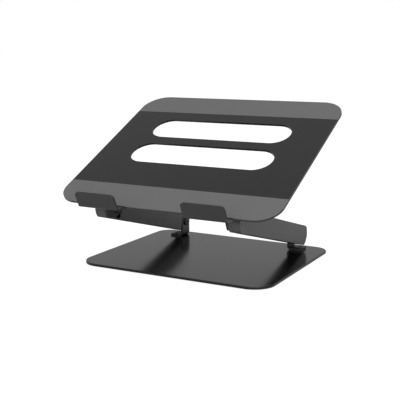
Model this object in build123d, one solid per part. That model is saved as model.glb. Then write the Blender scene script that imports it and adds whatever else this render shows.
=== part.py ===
from build123d import *

import os
from math import cos, radians, sin, sqrt, tan

# Z-fold laptop stand: a base plate, two hinged arms and a tilting tray.
# X runs across the stand, +Y towards its back, +Z up.  The origin lies on the desk, under the
# middle of the stand's outline box as it stands open.  Sizes are in millimetres and degrees.
# The right-hand half is modelled, at +X, and the left-hand pieces are its mirror image.

# ---- base plate and rubber feet
BASE_WIDTH = 228.0
BASE_DEPTH = 192.0
BASE_THICKNESS = 2.7
BASE_FRONT_RADIUS = 24.0
BASE_REAR_RADIUS = 18.0
FOOT_DIAMETER = 18.0
FOOT_HEIGHT = 1.0
FOOT_INSET = 18.0

# ---- arms, measured in their own frame: y runs back along the arm, z across its height
ARM_ANGLE = 15.7
PIVOT_SPAN = 160.0
ARM_INNER_X = 70.9
ARM_OUTER_X = 86.8
ARM_HEIGHT = 23.1
ARM_WALL = 2.0
ARM_REAR_RADIUS = 14.0
ARM_REAR_LEAD = 0.6
ARM_FRONT_RADIUS = 13.0
ARM_FRONT_LEAD = 6.8
ARM_CORNER_RADIUS = 3.0
COVER_THICKNESS = 1.5
REAR_EAR_POCKET = 9.6
FRONT_EAR_POCKET = 9.3
LINK_THICKNESS = 3.0
LINK_HEIGHT = 14.0
LINK_SCREW_STATIONS = (-48.0, -112.0)
COVER_PEG_STATIONS = (-24.0, -80.0, -136.0)

# ---- hinges: the stack that the pivot bolt clamps, from the inner side outwards
REAR_PIVOT_SETBACK = 20.8
REAR_PIVOT_HEIGHT = 21.3
BRACKET_THICKNESS = 2.5
BRACKET_BEND_RADIUS = 4.0
EAR_INNER_X = 70.8
FOOT_BRACKET_FRONT = -9.0
FOOT_BRACKET_BACK = 9.2
FOOT_BRACKET_OUTER_X = 88.5
FOOT_SCREW_SINK = 1.0
TRAY_BRACKET_FRONT = -17.5
TRAY_BRACKET_BACK = 14.0
TRAY_EAR_SHOULDER = (-17.5, 1.9)
TRAY_EAR_OUTLINE = ((-6.5, -7.1), (5.0, -7.1), (7.0, 10.0), (14.0, 20.0))
BOLT_DIAMETER = 5.0
BOLT_HEAD_DIAMETER = 9.0
BOLT_HEAD_HEIGHT = 2.0
BOLT_HEX = 3.0
WASHER_DIAMETER = 12.0
WASHER_THICKNESS = 0.6
DISC_SPRING_DIAMETER = 10.0
DISC_SPRING_HEIGHT = 1.2
NUT_ACROSS_FLATS = 8.0
NUT_HEIGHT = 4.4
RUNNING_GAP = 0.05

# ---- tray, measured in its own frame: y runs up the slope, z is square to the plate
TRAY_TILT = 25.7
TRAY_WIDTH = 260.0
TRAY_DEPTH = 230.8
TRAY_THICKNESS = 2.5
TRAY_FRONT_RADIUS = 26.0
TRAY_REAR_RADIUS = 28.0
TRAY_PIVOT_SETBACK = 26.2
TRAY_PIVOT_DROP = 22.8
PAD_THICKNESS = 1.0
PAD_RECESS = 0.7
PAD_GAP = 0.15
FRONT_PAD_DEPTH = 38.4
REAR_PAD_DEPTH = 37.3
SLOT_LENGTH = 175.0
SLOT_WIDTH = 40.0
SLOT_STATIONS = (103.4, 157.2)

# ---- front hooks, bent up from the tray's own sheet
HOOK_INNER_X = 38.6
HOOK_OUTER_X = 86.9
HOOK_REACH = 13.2
HOOK_HEIGHT = 21.9
HOOK_CORNER_RADIUS = 4.0
HOOK_BEND_RADIUS = 3.0
LINER_THICKNESS = 0.8
LINER_MARGIN = 2.0

# ---- worked-out places
RISE = radians(ARM_ANGLE)
TILT = radians(TRAY_TILT)
BASE_TOP = FOOT_HEIGHT + BASE_THICKNESS
SEAT_THICKNESS = TRAY_THICKNESS - PAD_RECESS
PAD_SEAT = TRAY_PIVOT_DROP + SEAT_THICKNESS
PAD_TOP = PAD_SEAT + PAD_THICKNESS

# The box's front is the hooks' top edge and its back is the base plate's rear edge.
pivot_run = PIVOT_SPAN * cos(RISE)
hook_run = (TRAY_PIVOT_SETBACK + HOOK_REACH) * cos(TILT) + (PAD_TOP + HOOK_HEIGHT) * sin(TILT)
base_rear_y = (REAR_PIVOT_SETBACK + pivot_run + hook_run) / 2
base_centre_y = base_rear_y - BASE_DEPTH / 2
rear_pivot = Vector(0, base_rear_y - REAR_PIVOT_SETBACK, REAR_PIVOT_HEIGHT)
front_pivot = rear_pivot + Vector(0, -pivot_run, PIVOT_SPAN * sin(RISE))

arm_frame = Plane(origin=rear_pivot, x_dir=(1, 0, 0), z_dir=(0, sin(RISE), cos(RISE)))
tray_frame = Plane(origin=front_pivot, x_dir=(1, 0, 0), z_dir=(0, -sin(TILT), cos(TILT)))
base_frame = Plane(origin=(0, rear_pivot.Y, rear_pivot.Z))

# The hinge stack's faces along X.
ear_outer_x = EAR_INNER_X + BRACKET_THICKNESS
link_inner_x = ear_outer_x + WASHER_THICKNESS + RUNNING_GAP
link_outer_x = link_inner_x + LINK_THICKNESS
outer_washer_x = link_outer_x + RUNNING_GAP
spring_x = outer_washer_x + WASHER_THICKNESS
nut_x = spring_x + DISC_SPRING_HEIGHT
bolt_end_x = nut_x + NUT_HEIGHT + 0.9
shell_inner_x = ARM_INNER_X + COVER_THICKNESS
wall_inner_x = ARM_OUTER_X - ARM_WALL
pocket_x = ear_outer_x + 0.3


# ---- small helpers
def block(x_span, y_span, z_span):
    """Box between three pairs of faces."""
    spans = (x_span, y_span, z_span)
    centre = [(low + high) / 2 for low, high in spans]
    size = [high - low for low, high in spans]
    return Pos(*centre) * Box(*size)


def along_x(profile, start, end):
    """Side profile, drawn in y and z, carried from one x to another."""
    return extrude(Plane.YZ.offset(start) * profile, amount=end - start)


def rod_x(radius, start, end, y=0.0, z=0.0):
    """Cylinder along X."""
    return along_x(Pos(y, z) * Circle(radius), start, end)


def rod_z(radius, bottom, top, x=0.0, y=0.0):
    """Cylinder along Z."""
    return Pos(x, y, bottom) * extrude(Circle(radius), amount=top - bottom)


def ring_x(outer_radius, inner_radius, start, end):
    """Flat ring round the X axis."""
    return along_x(Circle(outer_radius) - Circle(inner_radius), start, end)


def rounded_outline(width, depth, front_radius, rear_radius):
    """Rectangle whose front and rear corners have their own radii."""
    outline = Rectangle(width, depth)
    outline = fillet(outline.vertices().group_by(Axis.Y)[0], front_radius)
    return fillet(outline.vertices().group_by(Axis.Y)[-1], rear_radius)


def placed(frame, shape):
    """Shape moved from a frame's own coordinates to its place on the stand."""
    return frame.location * shape


def save(name, *solids):
    """Write one node."""
    shape = solids[0] if len(solids) == 1 else Compound(children=list(solids))
    export_step(shape, f"parts/{name}.step")


def save_pair(name, shape):
    """Write a right-hand piece and its left-hand mirror image as two nodes."""
    save(f"right_{name}", shape)
    save(f"left_{name}", mirror(shape, about=Plane.YZ))


def save_both_sides(name, *shapes):
    """Write identical small pieces of both sides as one node of separate solids."""
    save(name, *shapes, *[mirror(shape, about=Plane.YZ) for shape in shapes])


# ---- base
def base_screw_places():
    """Screw centres of the right-hand foot bracket, relative to the rear pivot."""
    return [(83.4, -4.7), (83.4, 4.9)]


def make_base_plate():
    """Steel plate with round corners, an eased top edge and tapped bracket holes."""
    outline = rounded_outline(BASE_WIDTH, BASE_DEPTH, BASE_FRONT_RADIUS, BASE_REAR_RADIUS)
    plate = extrude(outline, amount=BASE_THICKNESS)
    top_edges = plate.faces().sort_by(Axis.Z)[-1].edges()
    plate = Pos(0, base_centre_y, FOOT_HEIGHT) * chamfer(top_edges, 0.4)
    for x, y in base_screw_places():
        for side in (-1, 1):
            plate -= rod_z(2.0, 0, BASE_TOP + 1, side * x, rear_pivot.Y + y)
    return plate


def make_foot(x_side, y_side):
    """Self-adhesive rubber foot with a bevelled rim, under one corner of the base."""
    x = x_side * (BASE_WIDTH / 2 - FOOT_INSET)
    y = base_centre_y + y_side * (BASE_DEPTH / 2 - FOOT_INSET)
    foot = rod_z(FOOT_DIAMETER / 2, 0, FOOT_HEIGHT, x, y)
    return chamfer(foot.faces().sort_by(Axis.Z)[0].edges(), 0.3)


def make_foot_bracket():
    """Bent steel bracket: a floor under the arm and a round-topped ear at its inner side."""
    floor_z = BASE_TOP - REAR_PIVOT_HEIGHT
    floor_top = floor_z + BRACKET_THICKNESS
    span = (FOOT_BRACKET_FRONT, FOOT_BRACKET_BACK)
    width = FOOT_BRACKET_BACK - FOOT_BRACKET_FRONT
    middle = (FOOT_BRACKET_FRONT + FOOT_BRACKET_BACK) / 2
    floor = block((EAR_INNER_X, FOOT_BRACKET_OUTER_X), span, (floor_z, floor_top))
    stem = Pos(middle, floor_z / 2) * Rectangle(width, -floor_z)
    ear = along_x(stem + Pos(middle, 0) * Circle(width / 2), EAR_INNER_X, ear_outer_x)
    bracket = floor + ear
    heel = bracket.edges().filter_by(Axis.Y).group_by(Axis.Z)[0].sort_by(Axis.X)[0]
    bracket = fillet(heel, BRACKET_BEND_RADIUS)
    toes = bracket.edges().filter_by(Axis.Z).group_by(Axis.X)[-1]
    bracket = fillet(toes, 2.5)
    bracket -= rod_x(BOLT_DIAMETER / 2 + RUNNING_GAP, EAR_INNER_X - 1, ear_outer_x + 1)
    for x, y in base_screw_places():
        bracket -= rod_z(2.1, floor_z - 1, floor_top + 1, x, y)
        bracket -= rod_z(3.15, floor_top - FOOT_SCREW_SINK, floor_top + 1, x, y)
    return placed(base_frame, bracket)


def make_foot_screw(x, y):
    """Sunk screw through a foot bracket's floor into the base plate."""
    seat = BASE_TOP - REAR_PIVOT_HEIGHT + BRACKET_THICKNESS - FOOT_SCREW_SINK
    tip = FOOT_HEIGHT - REAR_PIVOT_HEIGHT
    head = rod_z(3.0, seat, seat + 1.3, x, y)
    head = fillet(head.faces().sort_by(Axis.Z)[-1].edges(), 0.4)
    recess = Pos(x, y, seat + 0.5) * extrude(RegularPolygon(1.25, 6, major_radius=False), amount=2)
    return placed(base_frame, head - recess + rod_z(1.95, tip, seat, x, y))


# ---- hinge hardware, the same at both ends of each arm
def make_pivot_bolt():
    """Low-head hexagon-socket bolt, head at the ear's inner face."""
    head_x = EAR_INNER_X - BOLT_HEAD_HEIGHT
    head = rod_x(BOLT_HEAD_DIAMETER / 2, head_x, EAR_INNER_X)
    head = fillet(head.faces().sort_by(Axis.X)[0].edges(), 0.8)
    socket = along_x(RegularPolygon(BOLT_HEX / 2, 6, major_radius=False), head_x - 1, head_x + 1.2)
    shank = rod_x(BOLT_DIAMETER / 2, EAR_INNER_X, bolt_end_x)
    shank = chamfer(shank.faces().sort_by(Axis.X)[-1].edges(), 0.4)
    return head - socket + shank


def make_friction_washers():
    """The two friction washers that grip the link bar."""
    hole = BOLT_DIAMETER / 2 + RUNNING_GAP
    inner = ring_x(WASHER_DIAMETER / 2, hole, ear_outer_x, ear_outer_x + WASHER_THICKNESS)
    outer = ring_x(WASHER_DIAMETER / 2, hole, outer_washer_x, spring_x)
    return [inner, outer]


def make_disc_spring():
    """Cupped spring washer that keeps the hinge tight."""
    outer, inner = DISC_SPRING_DIAMETER / 2, BOLT_DIAMETER / 2 + 0.1
    half = DISC_SPRING_HEIGHT / 2
    section = Polyline(
        (spring_x, 0, outer),
        (spring_x + half, 0, outer),
        (spring_x + 2 * half, 0, inner),
        (spring_x + half, 0, inner),
        close=True,
    )
    return revolve(make_face(section), axis=Axis.X)


def make_lock_nut():
    """Hexagon nut with a round locking collar."""
    collar_x = nut_x + NUT_HEIGHT - 1.0
    body = along_x(RegularPolygon(NUT_ACROSS_FLATS / 2, 6, major_radius=False), nut_x, collar_x)
    collar = rod_x(3.4, collar_x, nut_x + NUT_HEIGHT)
    return body + collar - rod_x(BOLT_DIAMETER / 2 + RUNNING_GAP, nut_x - 1, bolt_end_x)


# ---- arms
def arm_outline():
    """Side outline of an arm: straight top and bottom, an arc beyond each pivot."""
    half = ARM_HEIGHT / 2
    rear_centre = ARM_REAR_LEAD
    front_centre = -PIVOT_SPAN - ARM_FRONT_LEAD
    rear = rear_centre + sqrt(ARM_REAR_RADIUS**2 - half**2)
    front = front_centre - sqrt(ARM_FRONT_RADIUS**2 - half**2)
    edges = [
        Line((front, half), (rear, half)),
        ThreePointArc((rear, half), (rear_centre + ARM_REAR_RADIUS, 0), (rear, -half)),
        Line((rear, -half), (front, -half)),
        ThreePointArc((front, -half), (front_centre - ARM_FRONT_RADIUS, 0), (front, half)),
    ]
    outline = make_face(edges)
    return fillet(outline.vertices(), ARM_CORNER_RADIUS)


def make_arm_shell():
    """Pressed housing, open at the inner side, with two bosses for the link bar's screws."""
    outline = arm_outline()
    shell = along_x(outline, shell_inner_x, ARM_OUTER_X)
    shell = fillet(shell.faces().sort_by(Axis.X)[-1].edges(), 0.6)
    shell -= along_x(offset(outline, amount=-ARM_WALL), shell_inner_x - 1, wall_inner_x)
    rear_pocket = (-REAR_EAR_POCKET, ARM_REAR_RADIUS + 5)
    front_pocket = (-PIVOT_SPAN - ARM_FRONT_RADIUS - 12, -PIVOT_SPAN + FRONT_EAR_POCKET)
    for pocket in (rear_pocket, front_pocket):
        shell -= block((shell_inner_x - 1, pocket_x), pocket, (-ARM_HEIGHT, ARM_HEIGHT))
    for y in LINK_SCREW_STATIONS:
        shell += rod_x(3.5, link_outer_x, wall_inner_x + 0.5, y)
        shell -= rod_x(1.5, link_outer_x - 1, wall_inner_x - 0.5, y)
    return placed(arm_frame, shell)


def make_arm_cover():
    """Flat inner cover, held by three pegs that press into the link bar."""
    length = PIVOT_SPAN - REAR_EAR_POCKET - FRONT_EAR_POCKET
    middle = -REAR_EAR_POCKET - length / 2
    cover = along_x(Pos(middle, 0) * Rectangle(length, ARM_HEIGHT), ARM_INNER_X, shell_inner_x)
    cover = chamfer(cover.faces().sort_by(Axis.X)[0].edges(), 0.3)
    for y in COVER_PEG_STATIONS:
        cover += rod_x(2.0, shell_inner_x, link_outer_x, y)
    return placed(arm_frame, cover)


def make_arm_link():
    """Flat steel bar that carries the load from pivot to pivot."""
    bar = Pos(-PIVOT_SPAN / 2, 0) * SlotCenterToCenter(PIVOT_SPAN, LINK_HEIGHT)
    for y in (0, -PIVOT_SPAN):
        bar -= Pos(y, 0) * Circle(BOLT_DIAMETER / 2 + RUNNING_GAP)
    for y in LINK_SCREW_STATIONS:
        bar -= Pos(y, 0) * Circle(1.6)
    for y in COVER_PEG_STATIONS:
        bar -= Pos(y, 0) * Circle(2.05)
    return placed(arm_frame, along_x(bar, link_inner_x, link_outer_x))


def make_link_screw(y):
    """Screw that holds the link bar against a boss of the arm shell."""
    head = rod_x(2.8, link_inner_x - 1.4, link_inner_x, y)
    head = fillet(head.faces().sort_by(Axis.X)[0].edges(), 0.5)
    shank = rod_x(1.45, link_inner_x, link_outer_x + 5, y)
    return placed(arm_frame, head + shank)


# ---- tray
def tray_outline():
    """Rounded outline of the tray plate in the tray frame."""
    middle = TRAY_DEPTH / 2 - TRAY_PIVOT_SETBACK
    outline = rounded_outline(TRAY_WIDTH, TRAY_DEPTH, TRAY_FRONT_RADIUS, TRAY_REAR_RADIUS)
    return Pos(0, middle) * outline


def hook_profile():
    """Side profile of a hook: a tongue that runs level from the plate's edge, then the lip."""
    edge = -TRAY_PIVOT_SETBACK
    bottom = TRAY_PIVOT_DROP
    slope = tan(TILT)
    lip_out = edge - HOOK_REACH
    lip_in = lip_out + SEAT_THICKNESS
    rise_out = bottom + (HOOK_REACH - 0.8) * slope
    rise_in = bottom + (HOOK_REACH - SEAT_THICKNESS - 0.8) * slope + SEAT_THICKNESS / cos(TILT)
    tongue_start = edge - 0.8 + (1 / cos(TILT) - 1) * SEAT_THICKNESS / slope
    outline = Polyline(
        (edge + 3, bottom),
        (edge - 0.8, bottom),
        (lip_out, rise_out),
        (lip_out, PAD_TOP + HOOK_HEIGHT),
        (lip_in, PAD_TOP + HOOK_HEIGHT),
        (lip_in, rise_in),
        (tongue_start, PAD_SEAT),
        (edge + 3, PAD_SEAT),
        close=True,
    )
    profile = make_face(outline)
    outer_bend = profile.vertices().sort_by_distance(Vertex(lip_out, rise_out, 0))[0]
    profile = fillet(outer_bend, HOOK_BEND_RADIUS)
    inner_bend = profile.vertices().sort_by_distance(Vertex(lip_in, rise_in, 0))[0]
    return fillet(inner_bend, HOOK_BEND_RADIUS - SEAT_THICKNESS)


def make_hook():
    """One front hook of the right-hand side."""
    hook = along_x(hook_profile(), HOOK_INNER_X, HOOK_OUTER_X)
    lip_corners = hook.edges().filter_by(Axis.Y).group_by(Axis.Z)[-1]
    return fillet(lip_corners, HOOK_CORNER_RADIUS)


def tray_screw_places():
    """Screw centres of the right-hand tray bracket in the tray frame."""
    return [(79.5, -8.5), (79.5, 8.5)]


def make_tray_plate():
    """Tray with two long slots, shallow pad seats, two bent hooks and countersunk holes."""
    sheet = tray_outline()
    for station in SLOT_STATIONS:
        sheet -= Pos(0, station - TRAY_PIVOT_SETBACK) * SlotOverall(SLOT_LENGTH, SLOT_WIDTH)
    low = FRONT_PAD_DEPTH + PAD_GAP - TRAY_PIVOT_SETBACK
    high = TRAY_DEPTH - REAR_PAD_DEPTH - PAD_GAP - TRAY_PIVOT_SETBACK
    band = Pos(0, (low + high) / 2) * Rectangle(TRAY_WIDTH + 2, high - low)
    plate = Pos(0, 0, TRAY_PIVOT_DROP) * extrude(sheet, amount=SEAT_THICKNESS)
    plate += Pos(0, 0, TRAY_PIVOT_DROP) * extrude(sheet & band, amount=TRAY_THICKNESS)
    hook = make_hook()
    plate = plate + hook + mirror(hook, about=Plane.YZ)
    for x, y in tray_screw_places():
        for side in (-1, 1):
            sink = Pos(side * x, y, TRAY_PIVOT_DROP + SEAT_THICKNESS / 2)
            plate -= sink * Cone(2.05, 3.85, SEAT_THICKNESS)
    return placed(tray_frame, plate)


def make_pad(start, depth):
    """Silicone grip pad across the tray, following its rounded corners."""
    low = start - TRAY_PIVOT_SETBACK
    band = Pos(0, low + depth / 2) * Rectangle(TRAY_WIDTH + 2, depth)
    pad = Pos(0, 0, PAD_SEAT) * extrude(tray_outline() & band, amount=PAD_THICKNESS)
    pad = chamfer(pad.faces().sort_by(Axis.Z)[-1].edges(), 0.25)
    return placed(tray_frame, pad)


def make_hook_liner():
    """Soft liner on the inner face of a hook's lip."""
    face_y = -TRAY_PIVOT_SETBACK - HOOK_REACH + SEAT_THICKNESS
    x_span = (HOOK_INNER_X + LINER_MARGIN, HOOK_OUTER_X - LINER_MARGIN)
    z_span = (PAD_TOP + 5.0, PAD_TOP + HOOK_HEIGHT - LINER_MARGIN)
    liner = block(x_span, (face_y, face_y + LINER_THICKNESS), z_span)
    liner = fillet(liner.edges().filter_by(Axis.Y), 2.5)
    return placed(tray_frame, liner)


def make_tray_bracket():
    """Bent steel bracket: a flange under the tray and an ear down to the front pivot."""
    flange_z = TRAY_PIVOT_DROP - BRACKET_THICKNESS
    front, back = TRAY_BRACKET_FRONT, TRAY_BRACKET_BACK
    flange = block((EAR_INNER_X, ARM_OUTER_X - 0.6), (front, back), (flange_z, TRAY_PIVOT_DROP))
    top = ((back, TRAY_PIVOT_DROP), (front, TRAY_PIVOT_DROP))
    outline = Polyline(TRAY_EAR_SHOULDER, *TRAY_EAR_OUTLINE, *top, close=True)
    profile = make_face(outline)
    profile = fillet(profile.vertices().group_by(Axis.Y)[0], 2.5)
    shoulder = profile.vertices().sort_by_distance(Vertex(*TRAY_EAR_SHOULDER, 0))[0]
    profile = fillet(shoulder, 3.0)
    bracket = flange + along_x(profile, EAR_INNER_X, ear_outer_x)
    heel = bracket.edges().filter_by(Axis.Y).group_by(Axis.Z)[-1].sort_by(Axis.X)[0]
    bracket = fillet(heel, BRACKET_BEND_RADIUS)
    bracket -= rod_x(BOLT_DIAMETER / 2 + RUNNING_GAP, EAR_INNER_X - 1, ear_outer_x + 1)
    for x, y in tray_screw_places():
        bracket -= rod_z(2.0, flange_z - 1, TRAY_PIVOT_DROP + 1, x, y)
    return placed(tray_frame, bracket)


def make_tray_screw(x, y):
    """Countersunk screw from the tray's top into a bracket's tapped flange."""
    head = Pos(x, y, TRAY_PIVOT_DROP + SEAT_THICKNESS / 2) * Cone(1.95, 3.75, SEAT_THICKNESS)
    recess = Pos(x, y, PAD_SEAT - 1.0) * extrude(RegularPolygon(1.25, 6, major_radius=False), amount=2)
    shank = rod_z(1.95, TRAY_PIVOT_DROP - BRACKET_THICKNESS - 0.8, TRAY_PIVOT_DROP, x, y)
    return placed(tray_frame, head - recess + shank)


# ---- write every node
def write_base():
    """Nodes of the base body."""
    save("base_plate", make_base_plate())
    for y_name, y_side in (("front", -1), ("rear", 1)):
        for x_name, x_side in (("left", -1), ("right", 1)):
            save(f"{y_name}_{x_name}_foot", make_foot(x_side, y_side))
    save_pair("foot_bracket", make_foot_bracket())
    save_both_sides("foot_bracket_screws", *[make_foot_screw(x, y) for x, y in base_screw_places()])


def write_hinge(name, frame):
    """Bolt, washers, spring and nut of one hinge pair."""
    save_pair(f"{name}_pivot_bolt", placed(frame, make_pivot_bolt()))
    washers = [placed(frame, washer) for washer in make_friction_washers()]
    save_both_sides(f"{name}_friction_washers", *washers)
    save_both_sides(f"{name}_disc_springs", placed(frame, make_disc_spring()))
    save_both_sides(f"{name}_lock_nuts", placed(frame, make_lock_nut()))


def write_arms():
    """Nodes of the arms body."""
    save_pair("arm_shell", make_arm_shell())
    save_pair("arm_cover", make_arm_cover())
    save_pair("arm_link", make_arm_link())
    save_both_sides("link_screws", *[make_link_screw(y) for y in LINK_SCREW_STATIONS])


def write_tray():
    """Nodes of the tray body."""
    save("tray_plate", make_tray_plate())
    save("front_grip_pad", make_pad(0.0, FRONT_PAD_DEPTH))
    save("rear_grip_pad", make_pad(TRAY_DEPTH - REAR_PAD_DEPTH, REAR_PAD_DEPTH))
    save_pair("hook_liner", make_hook_liner())
    save_pair("tray_bracket", make_tray_bracket())
    save_both_sides("tray_bracket_screws", *[make_tray_screw(x, y) for x, y in tray_screw_places()])


os.makedirs("parts", exist_ok=True)
write_base()
write_hinge("rear", base_frame)
write_arms()
write_tray()
write_hinge("front", tray_frame)
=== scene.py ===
"""Folding laptop stand: the finishes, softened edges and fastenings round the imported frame.

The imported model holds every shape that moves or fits.  This script dresses it: sheet-metal and
moulded pieces get eased edges, fastenings and feet are laid out by geometry nodes, and every
visible surface gets a procedural finish.  Lengths are in metres, except in the ring stacks of
the fastenings, which are in millimetres.
"""
import logging
from dataclasses import dataclass, field
from enum import Enum
from math import cos, pi, radians, sin
from typing import Callable, Sequence

import bmesh
import bpy
from mathutils import Matrix, Vector


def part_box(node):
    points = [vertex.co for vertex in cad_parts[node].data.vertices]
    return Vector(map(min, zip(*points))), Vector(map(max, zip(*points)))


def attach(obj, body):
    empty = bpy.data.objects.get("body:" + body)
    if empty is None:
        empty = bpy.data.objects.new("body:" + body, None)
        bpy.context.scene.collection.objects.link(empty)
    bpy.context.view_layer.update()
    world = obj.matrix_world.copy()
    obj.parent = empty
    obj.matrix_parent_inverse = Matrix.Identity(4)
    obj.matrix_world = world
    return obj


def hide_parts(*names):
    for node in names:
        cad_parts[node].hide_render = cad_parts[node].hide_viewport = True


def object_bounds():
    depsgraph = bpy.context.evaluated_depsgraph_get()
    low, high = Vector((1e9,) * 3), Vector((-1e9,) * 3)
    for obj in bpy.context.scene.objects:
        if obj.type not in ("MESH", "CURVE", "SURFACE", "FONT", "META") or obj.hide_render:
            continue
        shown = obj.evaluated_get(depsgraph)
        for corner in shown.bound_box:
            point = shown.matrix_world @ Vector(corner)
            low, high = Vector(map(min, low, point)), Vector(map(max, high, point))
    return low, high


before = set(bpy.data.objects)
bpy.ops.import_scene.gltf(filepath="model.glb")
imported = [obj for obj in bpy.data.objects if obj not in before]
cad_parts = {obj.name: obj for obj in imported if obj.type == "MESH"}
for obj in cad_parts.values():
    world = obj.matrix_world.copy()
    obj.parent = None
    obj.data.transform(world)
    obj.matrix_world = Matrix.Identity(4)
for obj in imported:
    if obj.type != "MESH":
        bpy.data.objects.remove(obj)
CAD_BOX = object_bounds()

LOG = logging.getLogger("laptop_stand")
MM = 0.001
WHITE = (1.0, 1.0, 1.0, 1.0)

# Shared effects: samples of the edge mask, and how hard a smear's border is.
WEAR_SAMPLES = 6
SMEAR_CONTRAST = 6.0

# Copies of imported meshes: how near points are joined, and how flat a face is kept whole.
JOIN_DISTANCE = 2e-6
FLAT_ANGLE = radians(0.2)
# Edges that turn more than these are eased on sheet parts, or drawn sharp on fasteners.
EASED_ANGLE = radians(35)
SHARP_ANGLE = radians(32)
# How strongly a large flat face holds its own shading beside a small eased edge.
LEVEL_WEIGHT = 100
# Points round a fastener, round a foot and round a ring of a foot's tread.
LATHE_STEPS = 48
TREAD_STEPS = 64
WIRE_STEPS = 10
# Bare rim of a foot's tread, as a share of the space between two rings.
TREAD_MARGIN = 0.4

Colour = tuple[float, float, float]
Ring = tuple[float, float, bool]
Node = bpy.types.Node
Socket = bpy.types.NodeSocket
NodeValues = dict[str | int, object]


# ------------------------------------------------------------------ node tree building
@dataclass
class Graph:
    """A thin typed wrapper round a node tree that makes and links nodes.

    Attributes:
        tree: the node tree being filled.
    """

    tree: bpy.types.NodeTree

    def add(self, kind: str, inputs: NodeValues | None = None, **settings: object) -> Node:
        """Make a node.

        Args:
            kind: the node's Blender class name.
            inputs: values or output sockets for its inputs, by name or index.
            settings: properties of the node itself.

        Returns:
            The new node.
        """
        node = self.tree.nodes.new(kind)
        for name, value in settings.items():
            setattr(node, name, value)
        for key, value in (inputs or {}).items():
            if isinstance(value, Socket):
                self.tree.links.new(value, node.inputs[key])
            else:
                node.inputs[key].default_value = value
        return node

    def maths(
        self, operation: str, first: object, second: object = 0.0, clamp: bool = False
    ) -> Socket:
        """Make a Math node on two numbers or sockets.

        Args:
            operation: the Math node's operation.
            first: number or socket.
            second: number or socket.
            clamp: whether the result is kept between 0 and 1.

        Returns:
            The result's socket.
        """
        node = self.add("ShaderNodeMath", {0: first, 1: second}, operation=operation, use_clamp=clamp)
        return node.outputs[0]

    def blend(self, share: object, low: object, high: object) -> Socket:
        """Mix two colours by a mask.

        Args:
            share: mask socket or number.
            low: colour where the mask is 0.
            high: colour where the mask is 1.

        Returns:
            The mixed colour's socket.
        """
        node = self.add("ShaderNodeMix", data_type="RGBA")
        for index, value in ((0, share), (6, low), (7, high)):
            if isinstance(value, Socket):
                self.tree.links.new(value, node.inputs[index])
            else:
                node.inputs[index].default_value = value
        return node.outputs[2]


def rgba(colour: Colour) -> tuple[float, float, float, float]:
    """Colour with full opacity."""
    return (*colour, 1.0)


def new_group(
    name: str,
    kind: str,
    inputs: Sequence[tuple[str, str, object]],
    outputs: Sequence[tuple[str, str]],
) -> Graph:
    """Start a node group with named sockets.

    Args:
        name: the group's name.
        kind: "ShaderNodeTree" or "GeometryNodeTree".
        inputs: name, socket type and default of each input; None leaves no default.
        outputs: name and socket type of each output.

    Returns:
        The graph, which already holds its group input and output nodes.
    """
    tree = bpy.data.node_groups.new(name, kind)
    for label, socket, default in inputs:
        made = tree.interface.new_socket(label, in_out="INPUT", socket_type=socket)
        if default is not None:
            made.default_value = default
    for label, socket in outputs:
        tree.interface.new_socket(label, in_out="OUTPUT", socket_type=socket)
    graph = Graph(tree)
    graph.add("NodeGroupInput", name="in")
    graph.add("NodeGroupOutput", name="out")
    return graph


# ------------------------------------------------------------------ shared surface effects
def edge_wear_group() -> Graph:
    """Mask that is bright along worn edges, broken up by noise.

    Returns:
        The group's graph.
    """
    number = "NodeSocketFloat"
    graph = new_group(
        "edge_wear",
        "ShaderNodeTree",
        [("Width", number, 0.0004), ("Strength", number, 6.0), ("Patch Size", number, 120.0)],
        [("Mask", number)],
    )
    given = graph.tree.nodes["in"].outputs
    rounded = graph.add("ShaderNodeBevel", {"Radius": given["Width"]}, samples=WEAR_SAMPLES)
    flat = graph.add("ShaderNodeNewGeometry")
    match = graph.add(
        "ShaderNodeVectorMath",
        {0: rounded.outputs[0], 1: flat.outputs["Normal"]},
        operation="DOT_PRODUCT",
    )
    bend = graph.maths("SUBTRACT", 1.0, match.outputs["Value"])
    place = graph.add("ShaderNodeTexCoord")
    patches = graph.add(
        "ShaderNodeTexNoise",
        {
            "Vector": place.outputs["Object"],
            "Scale": given["Patch Size"],
            "Detail": 5.0,
            "Roughness": 0.65,
        },
    )
    strong = graph.maths("MULTIPLY", bend, given["Strength"])
    broken = graph.maths("MULTIPLY", strong, patches.outputs[0], clamp=True)
    graph.tree.links.new(broken, graph.tree.nodes["out"].inputs["Mask"])
    return graph


def fine_grain_group() -> Graph:
    """Height of a fine sprayed or moulded grain, and a slow mottle over the surface.

    Returns:
        The group's graph.
    """
    number = "NodeSocketFloat"
    graph = new_group(
        "fine_grain",
        "ShaderNodeTree",
        [("Grain Scale", number, 2500.0), ("Mottle Scale", number, 25.0), ("Pitting", number, 0.3)],
        [("Height", number), ("Mottle", number)],
    )
    given = graph.tree.nodes["in"].outputs
    place = graph.add("ShaderNodeTexCoord").outputs["Object"]
    fine = {"Vector": place, "Scale": given["Grain Scale"]}
    grain = graph.add("ShaderNodeTexNoise", {**fine, "Detail": 2.0})
    pits = graph.add("ShaderNodeTexVoronoi", fine, feature="SMOOTH_F1")
    mottle = graph.add(
        "ShaderNodeTexNoise",
        {"Vector": place, "Scale": given["Mottle Scale"], "Detail": 4.0, "Roughness": 0.6},
    )
    deep = graph.maths("MULTIPLY", pits.outputs["Distance"], given["Pitting"])
    height = graph.maths("ADD", grain.outputs[0], deep)
    graph.tree.links.new(height, graph.tree.nodes["out"].inputs["Height"])
    graph.tree.links.new(mottle.outputs[0], graph.tree.nodes["out"].inputs["Mottle"])
    return graph


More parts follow.
